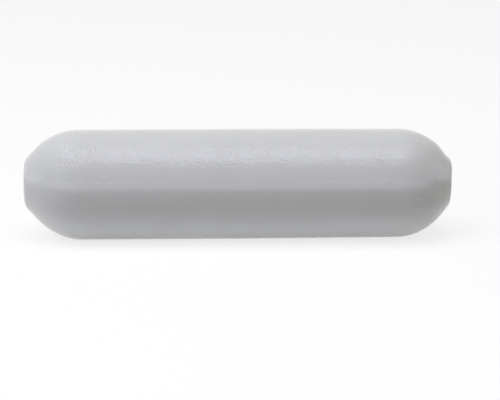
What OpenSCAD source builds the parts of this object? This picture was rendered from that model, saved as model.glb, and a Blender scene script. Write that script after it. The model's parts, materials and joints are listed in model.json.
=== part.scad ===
// Magnetic stir bar: a rod magnet sealed inside a one-piece moulded PTFE jacket.
// The bar lies on its side along X. The origin is at the middle of its length,
// on the surface that it lies on, and +Z is up.

/* [Bar] */
// Length from tip to tip
bar_l = 38.1; // [30:0.1:60]
// Diameter of the straight body
bar_d = 9.75; // [8.5:0.05:13]

/* [Ends] */
// Diameter of the flat on each tip
tip_flat_d = 3.2; // [1:0.1:4]
// Radius between the tip's flat and the taper
tip_edge_r = 1.0; // [0.4:0.1:2.4]
// Angle between the taper and the bar's axis
taper_angle = 47; // [40:1:60]
// Radius of the shoulder between the taper and the body
shoulder_r = 5.3; // [1:0.1:9]

/* [Magnet] */
// Wall of the jacket around the magnet
side_wall = 1.7; // [1.3:0.05:2.6]
// Wall of the jacket past each end of the magnet
end_wall = 3.2; // [2.6:0.1:6]
// Least wall of the jacket at the corners of the magnet
corner_wall = 1.3; // [0.8:0.05:2]
// Chamfer round each end of the magnet
magnet_chamfer = 0.4; // [0.1:0.05:0.8]
// Clearance between the magnet and the jacket moulded round it
magnet_gap = 0.05; // [0.02:0.01:0.1]

/* [Mould line] */
// Width of the ridge left where the mould's two halves met
mould_line_w = 0.25; // [0.15:0.05:0.8]
// Height of that ridge above the jacket
mould_line_h = 0.04; // [0.02:0.01:0.1]
// Distance from each tip at which the ridge ends
mould_line_end = 0.8; // [0.4:0.1:4]
// Angle by which the ridge on the -Y side stands above the bar's axis
mould_line_turn = 15; // [0:1:60]

/* [Hidden] */
$fn = 128;

half_l = bar_l / 2;
body_r = bar_d / 2;
tip_flat_r = tip_flat_d / 2;

// The outlines are drawn with the radius along the first axis and the place
// along the bar along the second, and are revolved about the bar's axis.

// A taper is the straight line that just touches two circles, one rounding
// the tip and one rounding the shoulder. taper_out points away from it.
taper_out = [cos(taper_angle), sin(taper_angle)];

// The shoulder's circle is limited where the taper has no more room for it.
taper_min = 0.1;
tip_tangent = tip_edge_r * tan((90 - taper_angle) / 2);
taper_room = (body_r - tip_flat_r - tip_tangent) / sin(taper_angle) - tip_tangent - taper_min;
shoulder_fit = min(shoulder_r, taper_room / tan(taper_angle / 2));

tip_centre = [tip_flat_r, half_l - tip_edge_r];
taper_reach = tip_centre * taper_out + tip_edge_r;
shoulder_centre_r = body_r - shoulder_fit;
shoulder_centre = [
    shoulder_centre_r,
    (taper_reach - shoulder_fit - shoulder_centre_r * taper_out[0]) / taper_out[1]
];

// How far along the bar a point at radius r may lie and keep this much wall
// outside it, where the shoulder or the taper is what it comes closest to
function reach_inside(r, wall) =
    let (past = r - shoulder_centre_r, arc_r = shoulder_fit - wall)
    arc_r > 0 && past > arc_r * cos(taper_angle)
        ? shoulder_centre[1] + sqrt(arc_r ^ 2 - past ^ 2)
        : (taper_reach - wall - r * taper_out[0]) / taper_out[1];

// The magnet is shorter where its corners would come too close to the outside.
cavity_r = body_r - side_wall;
corner_fit = min(corner_wall, side_wall);
cavity_half_l = min(
    half_l - end_wall,
    reach_inside(cavity_r, corner_fit) + magnet_chamfer,
    reach_inside(cavity_r - magnet_chamfer, corner_fit)
);
magnet_r = cavity_r - magnet_gap;
magnet_half_l = cavity_half_l - magnet_gap;

function on_circle(centre, r, angle) = centre + r * [cos(angle), sin(angle)];
function other_end(points) = [for (i = [len(points) - 1 : -1 : 0]) [points[i][0], -points[i][1]]];

// The part of a circle that stands past the chord between two of its angles
module round_over(centre, r, from, to) {
    start = on_circle(centre, r, from);
    end = on_circle(centre, r, to);
    past = r * [cos((from + to) / 2), sin((from + to) / 2)];
    intersection() {
        translate(centre) circle(r);
        polygon([start, start + past, end + past, end]);
    }
}

// Half of the bar's section: straight chords, and a true arc on each of them
module bar_outline() {
    end_points = [
        on_circle(shoulder_centre, shoulder_fit, 0),
        on_circle(shoulder_centre, shoulder_fit, taper_angle),
        on_circle(tip_centre, tip_edge_r, taper_angle),
        on_circle(tip_centre, tip_edge_r, 90),
        [0, half_l]
    ];
    polygon(concat(end_points, other_end(end_points)));
    for (end = [0, 1]) mirror([0, end]) {
        round_over(shoulder_centre, shoulder_fit, 0, taper_angle);
        round_over(tip_centre, tip_edge_r, taper_angle, 90);
    }
}

// Half of the magnet's section, with its sides and ends moved out by grow
module magnet_outline(grow = 0) {
    r = magnet_r + grow;
    l = magnet_half_l + grow;
    end_points = [[r, l - magnet_chamfer], [r - magnet_chamfer, l], [0, l]];
    polygon(concat(end_points, other_end(end_points)));
}

// Turns a half section about the bar's axis, with the bar lying on Z = 0
module lying_revolve() {
    translate([0, 0, body_r]) rotate([0, 90, 0]) rotate_extrude() children();
}

// The ridge along both sides of the bar: the bar's own outline set outwards
// by the ridge's height, kept only within a thin slab through the axis
module mould_line() {
    ridge_l = bar_l - 2 * mould_line_end;
    ridge_span = 2 * (bar_d + mould_line_h);
    intersection() {
        lying_revolve() translate([mould_line_h, 0]) bar_outline();
        translate([0, 0, body_r]) rotate([-mould_line_turn, 0, 0])
            cube([ridge_l, ridge_span, mould_line_w], center = true);
    }
}

// Jacket: one seamless shell, closed all round the magnet
module ptfe_jacket() {
    color("whitesmoke") difference() {
        union() {
            lying_revolve() bar_outline();
            mould_line();
        }
        lying_revolve() magnet_outline(magnet_gap);
    }
}

// Magnet: a plain rod, ground to size and chamfered at its ends
module magnet_rod() {
    color("dimgray") lying_revolve() magnet_outline();
}

ptfe_jacket();
magnet_rod();
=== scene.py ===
import json
import math

import bpy
from mathutils import Euler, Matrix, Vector


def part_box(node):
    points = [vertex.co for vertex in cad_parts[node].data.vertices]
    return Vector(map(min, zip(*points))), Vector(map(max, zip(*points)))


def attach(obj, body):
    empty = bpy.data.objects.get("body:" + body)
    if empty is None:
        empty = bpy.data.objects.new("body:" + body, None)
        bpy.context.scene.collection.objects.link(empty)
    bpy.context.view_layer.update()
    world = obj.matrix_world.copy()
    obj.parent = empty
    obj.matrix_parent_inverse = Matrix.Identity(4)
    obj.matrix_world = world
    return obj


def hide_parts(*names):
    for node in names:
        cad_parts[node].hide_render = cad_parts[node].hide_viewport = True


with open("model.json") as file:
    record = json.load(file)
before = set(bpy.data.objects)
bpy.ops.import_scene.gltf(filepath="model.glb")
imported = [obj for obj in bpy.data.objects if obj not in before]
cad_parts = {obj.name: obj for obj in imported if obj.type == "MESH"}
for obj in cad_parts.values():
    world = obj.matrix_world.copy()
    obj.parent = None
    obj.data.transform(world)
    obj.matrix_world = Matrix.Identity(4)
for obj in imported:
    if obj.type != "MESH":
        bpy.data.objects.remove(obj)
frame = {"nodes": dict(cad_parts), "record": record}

mm = 0.001
scene = bpy.context.scene
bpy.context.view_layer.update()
mounts = {mount["name"]: mount for mount in frame["record"]["mounts"]}
bodyRadius = mounts["body"]["dims"]["r_mm"] * mm
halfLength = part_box("ptfe_jacket")[1].x
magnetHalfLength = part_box("magnet_rod")[1].x
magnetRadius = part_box("magnet_rod")[1].z - bodyRadius
print("frame: bar", round(halfLength * 2 / mm, 2), "mm long,", round(bodyRadius * 2 / mm, 2), "mm across")


def feed(tree, source, target):
    # source is another node's output or a plain value
    if isinstance(source, bpy.types.NodeSocket):
        tree.links.new(source, target)
    else:
        target.default_value = source


def addNode(tree, kind, inputs=None, **settings):
    made = tree.nodes.new(kind)
    for name, value in settings.items():
        setattr(made, name, value)
    for name, value in (inputs or {}).items():
        feed(tree, value, made.inputs[name])
    return made


def calc(tree, operation, *values):
    made = addNode(tree, "ShaderNodeMath", operation=operation)
    for spot, value in enumerate(values):
        feed(tree, value, made.inputs[spot])
    return made.outputs[0]


def separate(tree, vector):
    return addNode(tree, "ShaderNodeSeparateXYZ", {"Vector": vector}).outputs


def combine(tree, x=0.0, y=0.0, z=0.0):
    return addNode(tree, "ShaderNodeCombineXYZ", {"X": x, "Y": y, "Z": z}).outputs[0]


def scaled(tree, vector, amount):
    return addNode(tree, "ShaderNodeVectorMath", {"Vector": vector, "Scale": amount},
                   operation="SCALE").outputs["Vector"]


def vectors(tree, operation, first, second, output="Vector"):
    return addNode(tree, "ShaderNodeVectorMath", {0: first, 1: second}, operation=operation).outputs[output]


def ramp(tree, value, fromMin, fromMax, toMin=0.0, toMax=1.0, interpolation="SMOOTHSTEP"):
    limits = {"Value": value, "From Min": fromMin, "From Max": fromMax, "To Min": toMin, "To Max": toMax}
    return addNode(tree, "ShaderNodeMapRange", limits, interpolation_type=interpolation).outputs["Result"]


def noise(tree, where, scale, detail, dimensions="3D"):
    settings = {**where, "Scale": scale, "Detail": detail}
    return addNode(tree, "ShaderNodeTexNoise", settings, noise_dimensions=dimensions).outputs[0]


def newTree(name, kind, inputs, outputs):
    tree = bpy.data.node_groups.new(name, kind)
    for label, socketType, value in inputs:
        socket = tree.interface.new_socket(label, in_out="INPUT", socket_type=socketType)
        if value is not None:
            socket.default_value = value
    for label, socketType in outputs:
        tree.interface.new_socket(label, in_out="OUTPUT", socket_type=socketType)
    return tree, tree.nodes.new("NodeGroupInput").outputs, tree.nodes.new("NodeGroupOutput").inputs


# The jacket's skin is an outline turned about the bar's axis, then roughened and bent a little out of true.
jacket = {
    "Half Length": halfLength,
    "Radius": bodyRadius,
    "Left Fullness": 0.03 * mm,  # the straight body is a little fatter at the left
    "Right Fullness": -0.04 * mm,
    "Left Tip Flat": 1.58 * mm,  # its radius
    "Left Tip Edge": 1.12 * mm,
    "Left Taper": math.radians(46.6),  # from the axis
    "Left Shoulder": 5.56 * mm,
    "Right Tip Flat": 1.72 * mm,
    "Right Tip Edge": 0.75 * mm,
    "Right Taper": math.radians(47.4),
    "Right Shoulder": 5.02 * mm,
    "Left Lift": 0.197 * mm,  # the tips stand a little above the axis
    "Right Lift": 0.1 * mm,
    "Lift Reach": 5.5 * mm,
    "Right Lean": 0.025,  # slope of the right tip's flat
    "Ridge Width": 0.25 * mm,
    "Ridge Height": 0.008 * mm,
    "Ridge End": 0.8 * mm,
    "Ridge Turn": math.radians(-16.2),
    "Waviness": 0.006 * mm,
    "Seed": 3.0,
}
# How the skin's mesh is laid out: rings along the bar and columns round it
layout = {
    "rings": 300,
    "around": 240,
    "crowding": 0.75,  # how far its columns draw together towards the mould line
    "arcSteps": 48,
    "bodyArc": 400 * mm,  # rounds the corner in the middle, where the body starts to thin
    "weld": 0.0001 * mm,
}
# The hollow fits round the magnet with this gap
hollow = {"gap": 0.05 * mm, "chamfer": 0.4 * mm, "rings": 60, "around": 96}
# The skin is very slightly wavy all over
waves = {"scale": 420.0, "detail": 2.0, "range": (0.2, 0.8)}
# The mould line's ridge is broken here and there, and it is worn down in the middle of the bar
ridge = {
    "fade": 0.5 * mm,  # at each of its ends
    "breakScale": 900.0,
    "breakDetail": 2.0,
    "breaks": (0.42, 0.6),
    "brokenTo": 0.2,
    "worn": (5 * mm, 10 * mm),
    "wornTo": 0.25,
}
# How the top of the right end departs from its outline, as soft spots: mm along, across and above the axis
spots = {
    "swell": {"at": (17.75, 0.7, 3.3), "reach": (0.9, 2.4, 1.1), "proud": 0.055},
    "groove": {"at": (18.62, 0.35, 2.3), "reach": (0.35, 1.6, 0.65), "proud": -0.07},
    "lip": {"at": (19.0, -0.7, 1.5), "reach": (0.6, 1.6, 0.9), "proud": 0.06},
}


def byIndex(tree, dataType, values):
    made = addNode(tree, "GeometryNodeIndexSwitch", data_type=dataType)
    while len(made.index_switch_items) < len(values):
        made.index_switch_items.new()
    feed(tree, tree.nodes.new("GeometryNodeInputIndex").outputs[0], made.inputs["Index"])
    for spot, value in enumerate(values):
        feed(tree, value, made.inputs[spot + 1])
    return made.outputs[0]


def outlineCurve(tree, corners, radii):
    line = addNode(tree, "GeometryNodeMeshLine", {"Count": len(corners)}).outputs[0]
    places = [combine(tree, along, out) for along, out in corners]
    line = addNode(tree, "GeometryNodeSetPosition",
                   {"Geometry": line, "Position": byIndex(tree, "VECTOR", places)}).outputs[0]
    curve = addNode(tree, "GeometryNodeMeshToCurve", {"Mesh": line}).outputs[0]
    rounding = {"Curve": curve, "Count": layout["arcSteps"],
                "Radius": byIndex(tree, "FLOAT", radii), "Limit Radius": True}
    return addNode(tree, "GeometryNodeFilletCurve", rounding, mode="POLY").outputs[0]


def buildRevolve():
    tree, given, result = newTree("revolve", "GeometryNodeTree", [
        ("Outline", "NodeSocketGeometry", None),
        ("Rings", "NodeSocketInt", 100),
        ("Around", "NodeSocketInt", 64),
        ("Crowd At", "NodeSocketFloat", 0.0),  # the angle at which the columns stand closer together
        ("Crowding", "NodeSocketFloat", 0.0),
    ], [("Mesh", "NodeSocketGeometry")])
    grid = addNode(tree, "GeometryNodeMeshGrid", {
        "Size X": 1.0, "Size Y": 1.0, "Vertices X": given["Rings"],
        "Vertices Y": calc(tree, "ADD", given["Around"], 1)}).outputs["Mesh"]
    flat = separate(tree, tree.nodes.new("GeometryNodeInputPosition").outputs[0])
    sample = {"Curves": given["Outline"], "Factor": calc(tree, "ADD", flat["X"], 0.5)}
    point = addNode(tree, "GeometryNodeSampleCurve", sample, mode="FACTOR", use_all_curves=True)
    point = separate(tree, point.outputs["Position"])
    turn = calc(tree, "MULTIPLY", flat["Y"], -math.tau)
    pull = calc(tree, "SINE", calc(tree, "MULTIPLY", calc(tree, "SUBTRACT", turn, given["Crowd At"]), 2))
    pull = calc(tree, "MULTIPLY", pull, calc(tree, "MULTIPLY", given["Crowding"], 0.5))
    turn = calc(tree, "SUBTRACT", turn, pull)
    place = combine(tree, point["X"],
                    calc(tree, "MULTIPLY", point["Y"], calc(tree, "COSINE", turn)),
                    calc(tree, "MULTIPLY", point["Y"], calc(tree, "SINE", turn)))
    turned = addNode(tree, "GeometryNodeSetPosition", {"Geometry": grid, "Position": place}).outputs[0]
    closed = addNode(tree, "GeometryNodeMergeByDistance", {"Geometry": turned, "Distance": layout["weld"]})
    feed(tree, closed.outputs[0], result["Mesh"])
    return tree


def revolved(tree, revolve, outline, rings, around, crowdAt=0.0, crowding=0.0):
    made = addNode(tree, "GeometryNodeGroup", node_tree=revolve)
    for name, value in (("Outline", outline), ("Rings", rings), ("Around", around),
                        ("Crowd At", crowdAt), ("Crowding", crowding)):
        feed(tree, value, made.inputs[name])
    return made.outputs[0]


def jacketOutline(tree, given):
    # three corners at each end and one in the middle; the taper's corners are rounded by the fillet
    corners, radii = [], []
    for name, side in (("Left ", -1), ("Right ", 1)):
        taper = given[name + "Taper"]
        halfTurn = calc(tree, "MULTIPLY", calc(tree, "SUBTRACT", math.pi / 2, taper), 0.5)
        tipEdge = given[name + "Tip Edge"]
        tipFlat = given[name + "Tip Flat"]
        tipCorner = calc(tree, "MULTIPLY_ADD", tipEdge, calc(tree, "TANGENT", halfTurn), tipFlat)
        body = calc(tree, "ADD", given["Radius"], given[name + "Fullness"])
        drop = calc(tree, "SUBTRACT", body, tipCorner)
        taperLength = calc(tree, "DIVIDE", drop, calc(tree, "TANGENT", taper))
        tip = calc(tree, "MULTIPLY", given["Half Length"], side)
        shoulderAt = calc(tree, "MULTIPLY", calc(tree, "SUBTRACT", given["Half Length"], taperLength), side)
        shoulder = given[name + "Shoulder"]
        end = [((tip, 0.0), 0.0), ((tip, tipCorner), tipEdge), ((shoulderAt, body), shoulder)]
        if side < 0:
            end.append(((0.0, body), layout["bodyArc"]))
        else:
            end.reverse()
        corners += [corner for corner, radius in end]
        radii += [radius for corner, radius in end]
    return outlineCurve(tree, corners, radii)


def mouldLine(tree, given, place):
    # the height of the thin ridge that the mould's two halves left, which comes and goes along the bar
    turn = given["Ridge Turn"]
    fromPlane = calc(tree, "SUBTRACT",
                     calc(tree, "MULTIPLY", place["Z"], calc(tree, "COSINE", turn)),
                     calc(tree, "MULTIPLY", place["Y"], calc(tree, "SINE", turn)))
    halfWidth = calc(tree, "MULTIPLY", given["Ridge Width"], 0.5)
    across = ramp(tree, calc(tree, "ABSOLUTE", fromPlane), halfWidth, 0.0)
    end = calc(tree, "SUBTRACT", given["Half Length"], given["Ridge End"])
    fromMiddle = calc(tree, "ABSOLUTE", place["X"])
    fade = ramp(tree, fromMiddle, end, calc(tree, "SUBTRACT", end, ridge["fade"]))
    along = calc(tree, "ADD", place["X"], given["Seed"])
    breaks = noise(tree, {"W": along}, ridge["breakScale"], ridge["breakDetail"], "1D")
    breaks = ramp(tree, breaks, *ridge["breaks"], ridge["brokenTo"], 1.0)
    worn = ramp(tree, fromMiddle, *ridge["worn"], ridge["wornTo"], 1.0)
    share = calc(tree, "MULTIPLY", calc(tree, "MULTIPLY", across, fade), calc(tree, "MULTIPLY", worn, breaks))
    return calc(tree, "MULTIPLY", share, given["Ridge Height"])


def buildJacketTree():
    inputs = [(name, "NodeSocketFloat", value) for name, value in jacket.items()]
    inputs.append(("Material", "NodeSocketMaterial", None))
    outputs = [("Geometry", "NodeSocketGeometry")]
    tree, given, result = newTree("jacketSkin", "GeometryNodeTree", inputs, outputs)
    revolve = buildRevolve()
    outline = jacketOutline(tree, given)
    skin = revolved(tree, revolve, outline, layout["rings"], layout["around"],
                    given["Ridge Turn"], layout["crowding"])

    position = tree.nodes.new("GeometryNodeInputPosition").outputs[0]
    place = separate(tree, position)
    normal = tree.nodes.new("GeometryNodeInputNormal").outputs[0]
    sway = noise(tree, {"Vector": position, "W": given["Seed"]}, waves["scale"], waves["detail"], "4D")
    sway = ramp(tree, sway, *waves["range"], -1.0, 1.0, "LINEAR")
    proud = calc(tree, "MULTIPLY_ADD", sway, given["Waviness"], mouldLine(tree, given, place))
    for spot in spots.values():
        away = vectors(tree, "SUBTRACT", position, [along * mm for along in spot["at"]])
        away = vectors(tree, "DIVIDE", away, [along * mm for along in spot["reach"]])
        away = addNode(tree, "ShaderNodeVectorMath", {0: away}, operation="LENGTH").outputs["Value"]
        proud = calc(tree, "ADD", proud, ramp(tree, away, 1.0, 0.0, 0.0, spot["proud"] * mm))
    skin = addNode(tree, "GeometryNodeSetPosition",
                   {"Geometry": skin, "Offset": scaled(tree, normal, proud)}).outputs[0]

    # The tips stand off centre, and the right tip's flat leans
    reachFrom = calc(tree, "SUBTRACT", given["Half Length"], given["Lift Reach"])
    left = ramp(tree, calc(tree, "MULTIPLY", place["X"], -1), reachFrom, given["Half Length"])
    right = ramp(tree, place["X"], reachFrom, given["Half Length"])
    lift = calc(tree, "MULTIPLY", left, given["Left Lift"])
    lift = calc(tree, "MULTIPLY_ADD", right, given["Right Lift"], lift)
    tipFrom = calc(tree, "SUBTRACT", given["Half Length"], given["Right Tip Edge"])
    tipShare = ramp(tree, place["X"], tipFrom, given["Half Length"])
    lean = calc(tree, "MULTIPLY", calc(tree, "SUBTRACT", place["Z"], given["Right Tip Flat"]),
                calc(tree, "MULTIPLY", given["Right Lean"], tipShare))
    skin = addNode(tree, "GeometryNodeSetPosition",
                   {"Geometry": skin, "Offset": combine(tree, lean, 0.0, lift)}).outputs[0]

    # The closed hollow round the magnet faces inwards
    radius = magnetRadius + hollow["gap"]
    half = magnetHalfLength + hollow["gap"]
    end = [(half, 0.0), (half, radius - hollow["chamfer"]), (half - hollow["chamfer"], radius)]
    corners = [(-along, out) for along, out in end] + end[::-1]
    outline = outlineCurve(tree, corners, [0.0] * len(corners))
    inside = revolved(tree, revolve, outline, hollow["rings"], hollow["around"])
    inside = addNode(tree, "GeometryNodeFlipFaces", {"Mesh": inside}).outputs[0]

    both = tree.nodes.new("GeometryNodeJoinGeometry")
    for mesh in (skin, inside):
        tree.links.new(mesh, both.inputs[0])
    height = calc(tree, "ADD", given["Radius"], given["Left Fullness"])
    lying = addNode(tree, "GeometryNodeSetPosition",
                    {"Geometry": both.outputs[0], "Offset": combine(tree, 0.0, 0.0, height)}).outputs[0]
    smooth = addNode(tree, "GeometryNodeSetShadeSmooth", {"Geometry": lying}).outputs[0]
    real = addNode(tree, "GeometryNodeRealizeInstances", {"Geometry": smooth}).outputs[0]
    dressed = addNode(tree, "GeometryNodeSetMaterial", {"Geometry": real, "Material": given["Material"]})
    feed(tree, dressed.outputs[0], result["Geometry"])
    return tree


def madeByTree(name, tree, values):
    # runs a geometry tree once and keeps its result as a plain mesh
    carrier = bpy.data.objects.new(name + "Carrier", bpy.data.meshes.new(name + "Carrier"))
    scene.collection.objects.link(carrier)
    modifier = carrier.modifiers.new("tree", "NODES")
    modifier.node_group = tree
    for item in tree.interface.items_tree:
        if item.in_out == "INPUT":
            modifier[item.identifier] = values[item.name]
    evaluated = carrier.evaluated_get(bpy.context.evaluated_depsgraph_get())
    mesh = bpy.data.meshes.new_from_object(evaluated)
    carrier.modifiers.remove(modifier)
    bpy.data.objects.remove(carrier)
    mesh.materials.clear()  # drops the empty slot that the tree's own primitives bring
    mesh.materials.append(values["Material"])
    piece = bpy.data.objects.new(name, mesh)
    scene.collection.objects.link(piece)
    return piece


# Patterns are in the bar's own space, centred on its axis, so they stay on the bar wherever it goes
def newMaterial(name, settings):
    material = bpy.data.materials.new(name)
    material.use_nodes = True
    tree = material.node_tree
    shader = tree.nodes["Principled BSDF"]
    for label, value in settings.items():
        shader.inputs[label].default_value = value
    space = tree.nodes.new("ShaderNodeTexCoord").outputs["Object"]
    centred = addNode(tree, "ShaderNodeMapping", {"Vector": space, "Location": (0.0, 0.0, -bodyRadius)})
    return material, tree, shader, centred.outputs[0]


def mixColour(tree, factor, first, second):
    made = addNode(tree, "ShaderNodeMix", data_type="RGBA")
    for spot, value in ((0, factor), (6, first), (7, second)):
        feed(tree, value, made.inputs[spot])
    return made.outputs[2]


def buildGrain():
    # fine unevenness shared by the moulded and the ground surfaces
    tree, given, result = newTree("fineGrain", "ShaderNodeTree", [
        ("Vector", "NodeSocketVector", None),
        ("Scale", "NodeSocketFloat", 2500.0),
        ("Detail", "NodeSocketFloat", 3.0),
        ("Low", "NodeSocketFloat", 0.3),
        ("High", "NodeSocketFloat", 0.7),
    ], [("Height", "NodeSocketFloat"), ("Mask", "NodeSocketFloat")])
    height = noise(tree, {"Vector": given["Vector"]}, given["Scale"], given["Detail"])
    feed(tree, height, result["Height"])
    feed(tree, ramp(tree, height, given["Low"], given["High"]), result["Mask"])
    return tree


def grain(tree, group, vector, scale, detail, low=0.3, high=0.7):
    made = addNode(tree, "ShaderNodeGroup", node_tree=group)
    for name, value in (("Vector", vector), ("Scale", scale), ("Detail", detail),
                        ("Low", low), ("High", high)):
        feed(tree, value, made.inputs[name])
    return made.outputs


def bump(tree, height, distance, normal=None):
    made = addNode(tree, "ShaderNodeBump", {"Height": height, "Distance": distance})
    if normal:
        feed(tree, normal, made.inputs["Normal"])
    return made.outputs[0]


def buildStroke():
    # 1 on a thin straight stroke between two places, 0 beside it
    tree, given, result = newTree("stroke", "ShaderNodeTree", [
        ("Vector", "NodeSocketVector", None),
        ("From", "NodeSocketVector", None),
        ("To", "NodeSocketVector", None),
        ("Width", "NodeSocketFloat", 0.1 * mm),
    ], [("Mask", "NodeSocketFloat")])
    along = vectors(tree, "SUBTRACT", given["To"], given["From"])
    reach = vectors(tree, "SUBTRACT", given["Vector"], given["From"])
    length = vectors(tree, "DOT_PRODUCT", along, along, "Value")
    share = calc(tree, "DIVIDE", vectors(tree, "DOT_PRODUCT", reach, along, "Value"), length)
    share = ramp(tree, share, 0.0, 1.0, 0.0, 1.0, "LINEAR")
    away = vectors(tree, "DISTANCE", reach, scaled(tree, along, share), "Value")
    feed(tree, ramp(tree, away, calc(tree, "MULTIPLY", given["Width"], 0.5), 0.0), result["Mask"])
    return tree


# What handling has left on the jacket. A place is mm along the bar and degrees round it, from 0 at the
# camera's side; the width is in mm, and the shade is what the mark does to the base colour.
marks = {
    "scratch": {"from": (12.0, 38.9), "to": (12.45, 39.1), "width": 0.16, "shade": 0.8},
    "scratchTail": {"from": (12.45, 39.1), "to": (12.82, 35.0), "width": 0.18, "shade": 0.78},
    "curlTop": {"from": (-9.45, 10.9), "to": (-9.7, 6.1), "width": 0.4, "shade": 0.965},
    "curlFoot": {"from": (-9.7, 6.1), "to": (-9.5, 0.8), "width": 0.4, "shade": 0.965},
    "darkSpeck": {"from": (-17.0, -0.6), "to": (-17.0, -0.6), "width": 0.22, "shade": 0.82},
    "paleSpeck": {"from": (15.75, -4.2), "to": (15.87, -4.3), "width": 0.26, "shade": 1.2},
    "paleGrain": {"from": (15.45, -2.6), "to": (15.45, -2.6), "width": 0.2, "shade": 1.1},
}
# A painted highlight: the mould line's crest is lightened in beads, as glints where it catches the light;
# they sway a little across it, near the ends of the body and most of all at the left
crestGlints = {
    "width": 0.3 * mm,
    "swayScale": 1100.0,
    "swayDetail": 0.0,
    "beadScale": 1900.0,
    "beadDetail": 1.0,
    "beads": (0.4, 0.62),
    "between": 0.15,
    "inner": (4 * mm, 9 * mm),
    "outer": (15.4 * mm, 14.4 * mm),
    "strong": (-11 * mm, -6 * mm),
    "weak": 0.5,
    "shade": 1.14,
}
# The skin is dimpled along its upper front and lower back, as the mould left it, and smooth elsewhere
dimples = {
    "middle": math.radians(45),  # of the strip, round the bar
    "edge": (0.84, 0.94),  # the cosine of twice the angle from the middle
    "left": (-16.5 * mm, -15.7 * mm),
    "right": (16.4 * mm, 15.2 * mm),
    "detail": 1.0,
    "swellScale": 2900.0,
    "swellMean": 0.5,
    "swellHeight": 0.03 * mm,
    "dipScale": 4000.0,
    "dips": (0.34, 0.54),
    "dipMean": 0.65,
    "dipDepth": 0.029 * mm,
}
# Light goes a little way into the plastic before it comes back
ptfe = {
    "Subsurface Weight": 0.4,
    "Subsurface Radius": (1.0, 1.0, 1.0),
    "Subsurface Scale": 0.8 * mm,
    "Roughness": 0.15,
    "IOR": 1.37,
}
# The white is very slightly clouded
clouds = {"scale": 260.0, "detail": 2.0, "shades": (0.715, 0.73)}


def ptfeFinish(group):
    material, tree, shader, space = newMaterial("jacketPtfe", ptfe)
    place = separate(tree, space)
    turn = calc(tree, "ARCTAN2", place["Z"], calc(tree, "MULTIPLY", place["Y"], -1))
    unrolled = combine(tree, place["X"], calc(tree, "MULTIPLY", turn, bodyRadius))
    fromMiddle = calc(tree, "ABSOLUTE", place["X"])

    cloud = grain(tree, group, space, clouds["scale"], clouds["detail"])
    shade = ramp(tree, cloud["Mask"], 0.0, 1.0, *clouds["shades"], "LINEAR")
    stroke = buildStroke()
    for mark in marks.values():
        made = addNode(tree, "ShaderNodeGroup", node_tree=stroke)
        feed(tree, unrolled, made.inputs["Vector"])
        for end in ("from", "to"):
            along, degrees = mark[end]
            made.inputs[end.title()].default_value = (along * mm, math.radians(degrees) * bodyRadius, 0.0)
        made.inputs["Width"].default_value = mark["width"] * mm
        stain = ramp(tree, made.outputs[0], 0.0, 1.0, 1.0, mark["shade"], "LINEAR")
        shade = calc(tree, "MULTIPLY", shade, stain)
    # painted highlight: lighter beads of base colour along the mould line's crest stand in for glints
    beads = noise(tree, {"W": place["X"]}, crestGlints["beadScale"], crestGlints["beadDetail"], "1D")
    sway = noise(tree, {"W": place["X"]}, crestGlints["swayScale"], crestGlints["swayDetail"], "1D")
    sway = calc(tree, "MULTIPLY", calc(tree, "SUBTRACT", sway, 0.5), crestGlints["width"])
    fromCrest = calc(tree, "MULTIPLY", calc(tree, "ADD", turn, jacket["Ridge Turn"]), bodyRadius)
    fromCrest = calc(tree, "ADD", fromCrest, sway)
    crest = ramp(tree, calc(tree, "ABSOLUTE", fromCrest), crestGlints["width"] / 2, 0.0)
    for share in (ramp(tree, beads, *crestGlints["beads"], crestGlints["between"], 1.0),
                  ramp(tree, fromMiddle, *crestGlints["inner"]),
                  ramp(tree, fromMiddle, *crestGlints["outer"]),
                  ramp(tree, place["X"], *crestGlints["strong"], 1.0, crestGlints["weak"])):
        crest = calc(tree, "MULTIPLY", crest, share)
    shade = calc(tree, "MULTIPLY", shade, ramp(tree, crest, 0.0, 1.0, 1.0, crestGlints["shade"], "LINEAR"))
    feed(tree, combine(tree, shade, shade, shade), shader.inputs["Base Color"])

    twice = calc(tree, "MULTIPLY", calc(tree, "SUBTRACT", turn, dimples["middle"]), 2)
    strip = ramp(tree, calc(tree, "COSINE", twice), *dimples["edge"])
    for end in ("left", "right"):
        strip = calc(tree, "MULTIPLY", strip, ramp(tree, place["X"], *dimples[end]))
    peel = grain(tree, group, space, dimples["swellScale"], dimples["detail"])
    pits = grain(tree, group, space, dimples["dipScale"], dimples["detail"], *dimples["dips"])
    # each height has its mean taken off first, so that the strip's edge makes no step
    swell = calc(tree, "MULTIPLY", calc(tree, "SUBTRACT", peel["Height"], dimples["swellMean"]), strip)
    dip = calc(tree, "MULTIPLY", calc(tree, "SUBTRACT", pits["Mask"], dimples["dipMean"]), strip)
    normal = bump(tree, swell, dimples["swellHeight"])
    normal = bump(tree, dip, dimples["dipDepth"], normal)
    feed(tree, normal, shader.inputs["Normal"])
    return material


# The magnet was ground round and round, which leaves fine lines, and its cast metal has small pores
alloy = {
    "stretch": (1.0, 0.06, 0.06),
    "lineScale": 9000.0,
    "lineDetail": 3.0,
    "lines": (0.35, 0.65),
    "lineDepth": 0.01 * mm,
    "poreScale": 5200.0,
    "poreDetail": 2.0,
    "pores": (0.3, 0.36),
    "poreDepth": 0.02 * mm,
    "dark": (0.36, 0.35, 0.34, 1.0),
    "pale": (0.46, 0.45, 0.44, 1.0),
    "inPores": (0.16, 0.15, 0.14, 1.0),
    "roughness": (0.3, 0.5),
}


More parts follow.
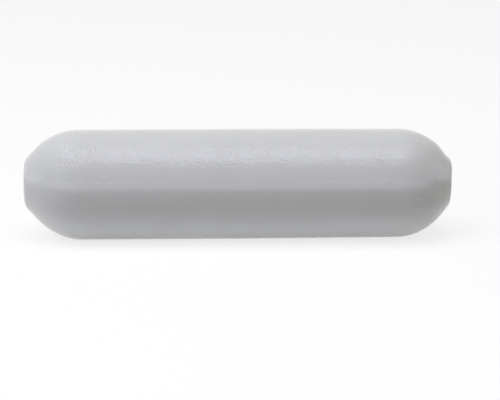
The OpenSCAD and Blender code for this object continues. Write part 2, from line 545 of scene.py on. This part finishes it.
def magnetFinish(group):
    material, tree, shader, space = newMaterial("groundMagnetAlloy", {"Metallic": 1.0})
    stretched = addNode(tree, "ShaderNodeMapping", {"Vector": space, "Scale": alloy["stretch"]}).outputs[0]
    lines = grain(tree, group, stretched, alloy["lineScale"], alloy["lineDetail"], *alloy["lines"])
    pores = grain(tree, group, space, alloy["poreScale"], alloy["poreDetail"], *alloy["pores"])
    colour = mixColour(tree, lines["Mask"], alloy["dark"], alloy["pale"])
    colour = mixColour(tree, pores["Mask"], alloy["inPores"], colour)
    feed(tree, colour, shader.inputs["Base Color"])
    roughness = ramp(tree, lines["Mask"], 0.0, 1.0, *alloy["roughness"], "LINEAR")
    feed(tree, roughness, shader.inputs["Roughness"])
    normal = bump(tree, lines["Height"], alloy["lineDepth"])
    normal = bump(tree, pores["Mask"], alloy["poreDepth"], normal)
    feed(tree, normal, shader.inputs["Normal"])
    return material


finishGroup = buildGrain()
skin = madeByTree("jacketSkin", buildJacketTree(), {**jacket, "Material": ptfeFinish(finishGroup)})
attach(skin, "root")
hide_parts("ptfe_jacket")
print("jacket:", len(skin.data.polygons), "faces")

magnet = frame["nodes"]["magnet_rod"]
magnet.data.materials.clear()
magnet.data.materials.append(magnetFinish(finishGroup))
print("magnet: finish set")


# The room: a pale floor, and soft lamps above, in front and at both sides. In front of the bar the floor
# gives little light back, as if a dark card lay there to draw the bar's shape, but it looks white.
room = {
    "floorReach": 3.0,  # from its middle to each side
    "floorColour": (0.895, 0.9, 0.9, 1.0),
    "floorSeen": (0.3, 0.3, 0.3, 1.0),  # what the camera sees of its shading, over a plain white glow
    "floorGlow": 0.75,
    "darkColour": (0.04, 0.04, 0.04, 1.0),
    "darkFrom": 7 * mm,  # in front of the bar's axis
    "darkFull": 10 * mm,
    "ambient": (0.301, 0.294, 0.247, 1.0),
    "backdrop": (1.0, 1.0, 1.0, 1.0),
    "sheenColour": (0.98, 1.0, 1.3),
    "fillColour": (0.975, 1.0, 1.13),
}
# A lamp is a flat rectangle that faces the bar. Its span is in degrees round the bar's axis, from 0 at the
# camera's side, over 90 above, to 180 behind; its ends are along the bar, and its strength is how white it
# is. Its side, where it has one, then turns it round the bar in degrees, 90 being towards +X. The sheens are
# seen only in reflections, and the fills only light the surface.
sheens = {
    "topBox": {"span": (60, 92), "distance": 0.2, "ends": (-0.035, 0.087), "strength": 3.5},
    "sideBox": {"span": (64, 104), "distance": 0.2, "ends": (-0.118, -0.058), "strength": 3.6},
    "horizonSheen": {"span": (0.5, 6), "distance": 0.4, "ends": (-0.7, 0.7), "strength": 2.2},
    "lowSheen": {"span": (6, 18), "distance": 0.4, "ends": (-0.7, 0.7), "strength": 2.05},
    "frontSheen": {"span": (18, 36), "distance": 0.4, "ends": (-0.7, 0.7), "strength": 0.85},
    "leftSheen": {"side": -90, "span": (0.5, 12), "distance": 0.4, "ends": (-0.4, 0.24), "strength": 1.5},
    "rightSheen": {"side": 90, "span": (0.5, 27), "distance": 0.4, "ends": (-0.24, 0.16), "strength": 1.2},
}
fills = {
    "topFill": {"span": (55, 99), "distance": 0.22, "ends": (-0.24, 0.08), "strength": 1.8},
    "leftFill": {"span": (8, 55), "distance": 0.3, "ends": (-0.36, -0.12), "strength": 1.63},
    "rightFill": {"span": (30, 80), "distance": 0.3, "ends": (0.2, 0.5), "strength": 0.32},
}
# The camera's axis passes a little to the right of the bar's middle and below it
view = {
    "azimuth": -1.4,
    "elevation": 14,
    "distance": 0.2758,
    "right": 1.1 * mm,
    "down": 1.417 * mm,
    "lens": 222,
    "sensor": 36,
    "nearest": 10 * mm,
}


def seen(tree):
    # 1 for what the camera sees, straight on or through a reflection or glass
    path = tree.nodes.new("ShaderNodeLightPath").outputs
    either = calc(tree, "MAXIMUM", path["Is Glossy Ray"], path["Is Transmission Ray"])
    return calc(tree, "MAXIMUM", path["Is Camera Ray"], either)


def addFloor():
    reach = room["floorReach"]
    mesh = bpy.data.meshes.new("floor")
    corners = [(-reach, -reach, 0), (reach, -reach, 0), (reach, reach, 0), (-reach, reach, 0)]
    mesh.from_pydata(corners, [], [(0, 1, 2, 3)])
    floor = bpy.data.objects.new("floor", mesh)
    scene.collection.objects.link(floor)
    material = bpy.data.materials.new("paleFloor")
    material.use_nodes = True
    mesh.materials.append(material)
    tree = material.node_tree
    tree.nodes.remove(tree.nodes["Principled BSDF"])
    place = separate(tree, tree.nodes.new("ShaderNodeTexCoord").outputs["Object"])
    isDark = ramp(tree, place["Y"], -room["darkFrom"], -room["darkFull"])
    isSeen = seen(tree)
    colour = mixColour(tree, isDark, room["floorColour"], room["darkColour"])
    colour = mixColour(tree, isSeen, colour, room["floorSeen"])
    diffuse = addNode(tree, "ShaderNodeBsdfDiffuse", {"Color": colour}).outputs[0]
    glow = calc(tree, "MULTIPLY", isSeen, room["floorGlow"])
    glow = addNode(tree, "ShaderNodeEmission", {"Strength": glow}).outputs[0]
    both = addNode(tree, "ShaderNodeAddShader", {0: diffuse, 1: glow}).outputs[0]
    feed(tree, both, tree.nodes["Material Output"].inputs["Surface"])


def addWorld():
    world = bpy.data.worlds.new("studio")
    scene.world = world
    world.use_nodes = True
    tree = world.node_tree
    colour = mixColour(tree, seen(tree), room["ambient"], room["backdrop"])
    feed(tree, colour, tree.nodes["Background"].inputs["Color"])


def direction(azimuth, elevation):
    # from the bar outwards; azimuth 0 is towards the camera's side and 90 towards +X
    turn, rise = math.radians(azimuth), math.radians(elevation)
    return Vector((math.sin(turn) * math.cos(rise), -math.cos(turn) * math.cos(rise), math.sin(rise)))


def addLamp(name, lamp, colour):
    low, high = (math.radians(angle) for angle in lamp["span"])
    left, right = lamp["ends"]
    middle = (low + high) / 2
    data = bpy.data.lights.new(name, "AREA")
    data.shape = "RECTANGLE"
    data.size = right - left
    data.size_y = 2 * lamp["distance"] * math.tan((high - low) / 2)
    data.energy = lamp["strength"] * math.pi * data.size * data.size_y
    data.color = colour
    made = bpy.data.objects.new(name, data)
    scene.collection.objects.link(made)
    side = math.radians(lamp.get("side", 0))
    across = -math.cos(middle) * lamp["distance"]
    place = Vector(((left + right) / 2, across, bodyRadius + math.sin(middle) * lamp["distance"]))
    place.rotate(Euler((0.0, 0.0, side)))
    made.location = place
    made.rotation_euler = (math.pi / 2 - middle, 0.0, side)
    made.visible_camera = False
    return made


def addCamera():
    data = bpy.data.cameras.new("camera")
    data.lens = view["lens"]
    data.sensor_width = view["sensor"]
    data.clip_start = view["nearest"]
    camera = bpy.data.objects.new("camera", data)
    scene.collection.objects.link(camera)
    back = direction(view["azimuth"], view["elevation"])
    turned = back.to_track_quat("Z", "Y")
    aside = turned @ Vector((view["right"], -view["down"], 0.0))
    camera.location = Vector((0.0, 0.0, bodyRadius)) + back * view["distance"] + aside
    camera.rotation_euler = turned.to_euler()
    scene.camera = camera


addFloor()
addWorld()
for name, lamp in sheens.items():
    addLamp(name, lamp, room["sheenColour"]).visible_diffuse = False
for name, lamp in fills.items():
    addLamp(name, lamp, room["fillColour"]).visible_glossy = False
addCamera()
scene.view_settings.view_transform = "Standard"
print("room: floor, world,", len(sheens) + len(fills), "lamps and the camera")
